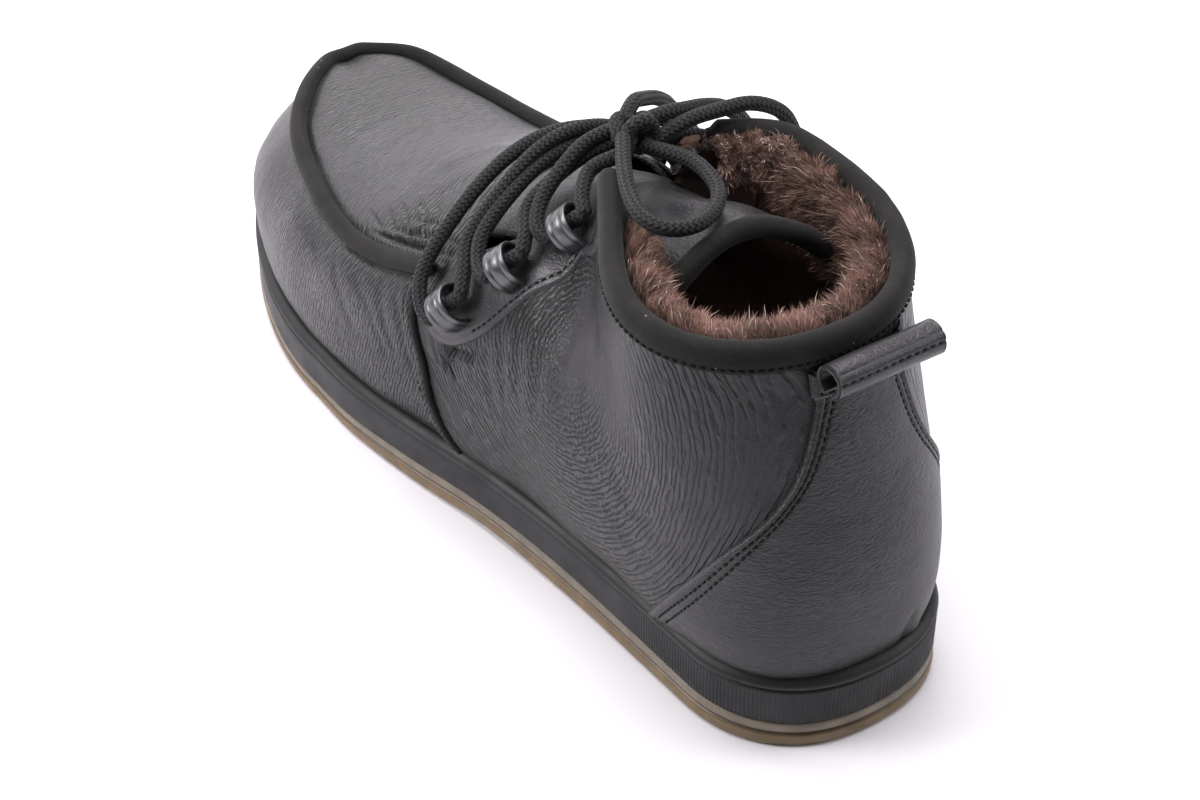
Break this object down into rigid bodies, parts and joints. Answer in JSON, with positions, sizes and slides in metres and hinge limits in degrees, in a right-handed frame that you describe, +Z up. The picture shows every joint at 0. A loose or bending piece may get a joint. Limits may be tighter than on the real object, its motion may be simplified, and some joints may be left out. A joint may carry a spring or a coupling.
{
  "type": "lace-up winter ankle boot",
  "caption": "Left lace-up ankle boot with a moccasin toe, fur lining, rolled collar, metal lace loops, tied lace and a beaded rubber sole.",
  "frame": {"origin": "middle of the boot's plan on the floor, without the free lace", "axes": "+X points to the toe, +Y to the outer side of the foot, +Z up"},
  "size_m": [0.3044, 0.1069, 0.1327],
  "materials": {
    "leather": "satin",
    "suede": "matte",
    "black_rubber": "matte",
    "amber_rubber": "satin",
    "felt": "matte",
    "fur": "matte",
    "dark_metal": "gloss",
    "lace": "matte"
  },
  "bodies": {
    "root": {"outsole": "amber_rubber", "midsole": "black_rubber", "insole": "felt", "upper": "leather", "tongue": "leather", "heel_counter": "leather", "facing_outer": "leather", "facing_inner": "leather", "moc_piping": "suede", "collar_binding": "suede", "pull_tab": "leather", "fur_lining": "fur", "lace_loop_outer_1": "dark_metal", "lace_loop_outer_2": "dark_metal", "lace_loop_outer_3": "dark_metal", "lace_loop_inner_1": "dark_metal", "lace_loop_inner_2": "dark_metal", "lace_loop_inner_3": "dark_metal", "lace_laid": "lace", "lace_knot": "lace", "lace_bow_outer": "lace", "lace_bow_inner": "lace", "lace_end_front": "lace", "lace_end_back": "lace"}
  },
  "joints": []
}
